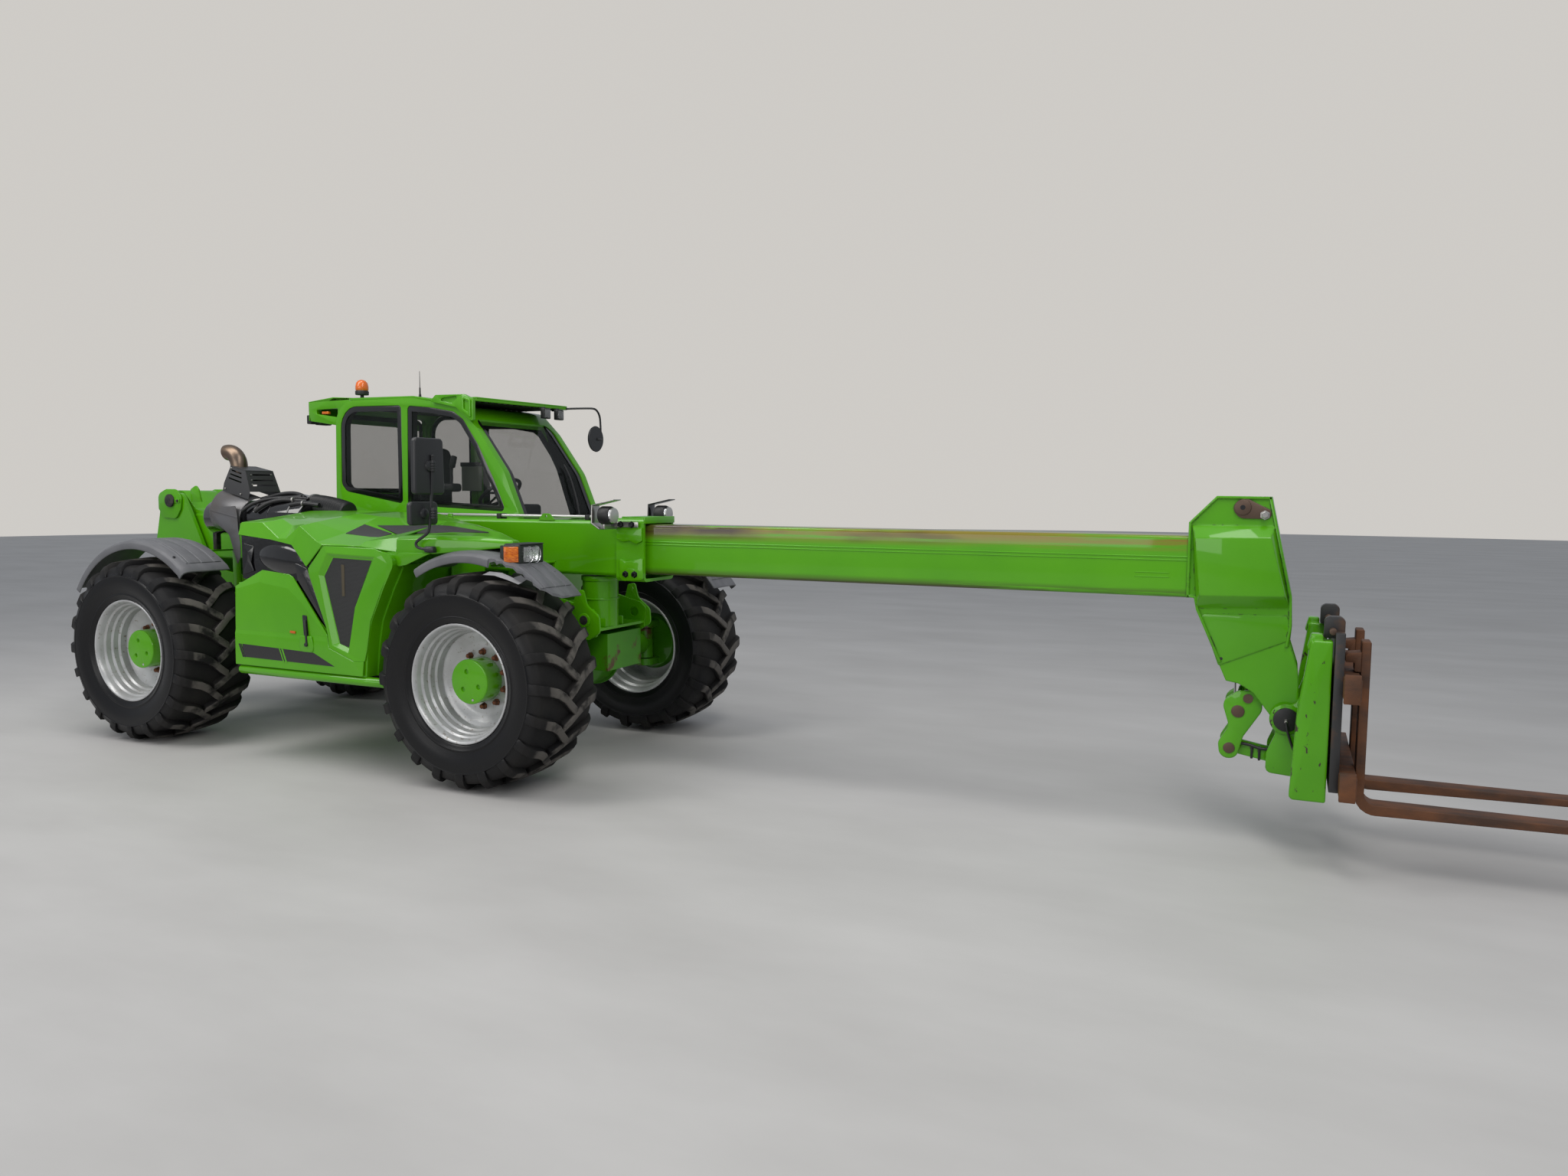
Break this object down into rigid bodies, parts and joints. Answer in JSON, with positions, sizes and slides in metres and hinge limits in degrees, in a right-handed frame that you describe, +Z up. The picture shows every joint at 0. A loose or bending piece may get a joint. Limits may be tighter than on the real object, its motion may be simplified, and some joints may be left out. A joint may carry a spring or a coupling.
{
  "type": "telehandler",
  "caption": "Telehandler with a telescopic boom, tilting fork carriage, side cab, opening hood and door, and four steered wheels on two axles.",
  "frame": {"origin": "on the ground below the middle of the machine's length and width, forks included", "axes": "+X forward along the boom, +Y to the driver's left, +Z up"},
  "size_m": [10.03, 2.4992, 2.7],
  "materials": {
    "tyre": "worn rubber",
    "rim_silver": "silver paint",
    "green_paint": "gloss lime green paint",
    "green_plastic": "gloss",
    "dark_casting": "dark paint",
    "black_plastic": "matte",
    "grey_plastic": "moulded, matte",
    "seat_fabric": "woven",
    "cab_glazing": "clear",
    "lamp_plastic": "clear and amber lenses",
    "bright_steel": "machined",
    "bronze_steel": "heat-tinted",
    "black_metal": "dark grey paint",
    "rusty_steel": "worn to rust"
  },
  "bodies": {
    "machine": {"chassis_frame": "green_paint", "boom_tower": "green_paint", "counterweight": "dark_casting", "front_axle": "dark_casting", "rear_axle": "dark_casting", "engine_block": "dark_casting", "side_body": "green_paint", "front_cowl": "green_paint", "cab_shell": "green_paint", "cab_glass": "cab_glazing", "roof_cover": "green_plastic", "seat": "seat_fabric", "console": "black_plastic", "rear_fenders": "grey_plastic", "front_fenders": "grey_plastic", "mirrors": "black_plastic", "lamps": "lamp_plastic", "air_duct": "black_plastic", "grey_shroud": "grey_plastic", "exhaust_guard": "grey_plastic", "tailpipe": "bronze_steel", "transfer_box": "dark_casting", "left_tank": "black_plastic"},
    "hood": {"hood": "green_paint"},
    "cab_door": {"door_frame": "green_paint", "door_glass": "cab_glazing"},
    "outer_boom": {"outer_boom": "green_paint", "boom_collar": "green_paint", "boom_lamps": "lamp_plastic", "boom_pipe": "bright_steel"},
    "inner_boom": {"inner_boom": "green_paint", "boom_head": "green_paint", "head_pins": "bright_steel"},
    "rocker": {"rocker": "green_paint"},
    "link": {"link": "green_paint"},
    "carriage": {"carriage_coupler": "green_paint", "fork_carrier": "black_metal", "fork_left": "rusty_steel", "fork_right": "rusty_steel"},
    "tilt_barrel": {"tilt_barrel": "black_metal"},
    "tilt_rod": {"tilt_rod": "bright_steel"},
    "lift_barrel": {"lift_barrel": "green_paint"},
    "lift_rod": {"lift_rod": "bright_steel"},
    "knuckle_front_left": {"knuckle_front_left": "dark_casting"},
    "wheel_front_left": {"tyre_front_left": "tyre", "rim_front_left": "rim_silver", "hub_front_left": "green_paint"},
    "knuckle_front_right": {"knuckle_front_right": "dark_casting"},
    "wheel_front_right": {"tyre_front_right": "tyre", "rim_front_right": "rim_silver", "hub_front_right": "green_paint"},
    "knuckle_rear_left": {"knuckle_rear_left": "dark_casting"},
    "wheel_rear_left": {"tyre_rear_left": "tyre", "rim_rear_left": "rim_silver", "hub_rear_left": "green_paint"},
    "knuckle_rear_right": {"knuckle_rear_right": "dark_casting"},
    "wheel_rear_right": {"tyre_rear_right": "tyre", "rim_rear_right": "rim_silver", "hub_rear_right": "green_paint"}
  },
  "joints": [
    {"name": "boom_lift", "type": "hinge", "parent": "machine", "child": "outer_boom", "pos_m": [-4.768, -0.07, 1.707], "axis": [0, -1, 0], "range_deg": [0, 68]},
    {"name": "boom_extend", "type": "slide", "parent": "outer_boom", "child": "inner_boom", "axis": [1, 0, 0], "range_m": [-3.15, 0]},
    {"name": "fork_tilt", "type": "hinge", "parent": "inner_boom", "child": "carriage", "pos_m": [3.442, -0.07, 0.68], "axis": [0, 1, 0], "range_deg": [-15, 90]},
    {"name": "rocker_swing", "type": "hinge", "parent": "inner_boom", "child": "rocker", "pos_m": [3.261, -0.07, 0.76], "axis": [0, 1, 0], "range_deg": [-14, 75]},
    {"name": "link_swing", "type": "hinge", "parent": "rocker", "child": "link", "pos_m": [3.179, -0.07, 0.495], "axis": [0, 1, 0], "range_deg": [-75, 14]},
    {"name": "tilt_barrel_swing", "type": "hinge", "parent": "inner_boom", "child": "tilt_barrel", "pos_m": [3.199, -0.07, 1.74], "axis": [0, 1, 0], "range_deg": [-1, 4]},
    {"name": "tilt_rod_slide", "type": "slide", "parent": "tilt_barrel", "child": "tilt_rod", "axis": [0.0152, 0, -0.9999], "range_m": [-0.1, 0.02]},
    {"name": "lift_barrel_swing", "type": "hinge", "parent": "machine", "child": "lift_barrel", "pos_m": [-4.365, -0.07, 1], "axis": [0, -1, 0], "range_deg": [0, 68]},
    {"name": "lift_rod_slide", "type": "slide", "parent": "lift_barrel", "child": "lift_rod", "axis": [0.9975, 0, 0.0701], "range_m": [0, 0.94]},
    {"name": "cab_door_swing", "type": "hinge", "parent": "machine", "child": "cab_door", "pos_m": [-2.845, 1.165, 1.6], "axis": [0, 0, 1], "range_deg": [0, 85]},
    {"name": "hood_lift", "type": "hinge", "parent": "machine", "child": "hood", "pos_m": [-2.315, -0.322, 1.592], "axis": [-1, 0, 0], "range_deg": [0, 55]},
    {"name": "steer_front_left", "type": "hinge", "parent": "machine", "child": "knuckle_front_left", "pos_m": [-1.015, 0.85, 0.655], "axis": [0, 0, 1], "range_deg": [-35, 35]},
    {"name": "spin_front_left", "type": "hinge", "parent": "knuckle_front_left", "child": "wheel_front_left", "pos_m": [-1.015, 0.95, 0.655], "axis": [0, 1, 0], "continuous": true},
    {"name": "steer_front_right", "type": "hinge", "parent": "machine", "child": "knuckle_front_right", "pos_m": [-1.015, -0.85, 0.655], "axis": [0, 0, 1], "range_deg": [-35, 35]},
    {"name": "spin_front_right", "type": "hinge", "parent": "knuckle_front_right", "child": "wheel_front_right", "pos_m": [-1.015, -0.95, 0.655], "axis": [0, 1, 0], "continuous": true},
    {"name": "steer_rear_left", "type": "hinge", "parent": "machine", "child": "knuckle_rear_left", "pos_m": [-4.015, 0.85, 0.655], "axis": [0, 0, 1], "range_deg": [-35, 35]},
    {"name": "spin_rear_left", "type": "hinge", "parent": "knuckle_rear_left", "child": "wheel_rear_left", "pos_m": [-4.015, 0.95, 0.655], "axis": [0, 1, 0], "continuous": true},
    {"name": "steer_rear_right", "type": "hinge", "parent": "machine", "child": "knuckle_rear_right", "pos_m": [-4.015, -0.85, 0.655], "axis": [0, 0, 1], "range_deg": [-35, 35]},
    {"name": "spin_rear_right", "type": "hinge", "parent": "knuckle_rear_right", "child": "wheel_rear_right", "pos_m": [-4.015, -0.95, 0.655], "axis": [0, 1, 0], "continuous": true}
  ],
  "couplings": [
    {"joint": "rocker_swing", "follows": "fork_tilt", "ratio": 0.8075},
    {"joint": "link_swing", "follows": "fork_tilt", "ratio": -0.805},
    {"joint": "tilt_barrel_swing", "follows": "fork_tilt", "ratio": 0.03},
    {"joint": "tilt_rod_slide", "follows": "fork_tilt", "m_per_rad": -0.06},
    {"joint": "lift_barrel_swing", "follows": "boom_lift", "ratio": 0.9686},
    {"joint": "lift_rod_slide", "follows": "boom_lift", "m_per_rad": 0.7832},
    {"joint": "steer_front_right", "follows": "steer_front_left", "ratio": 1},
    {"joint": "steer_rear_right", "follows": "steer_rear_left", "ratio": 1}
  ]
}
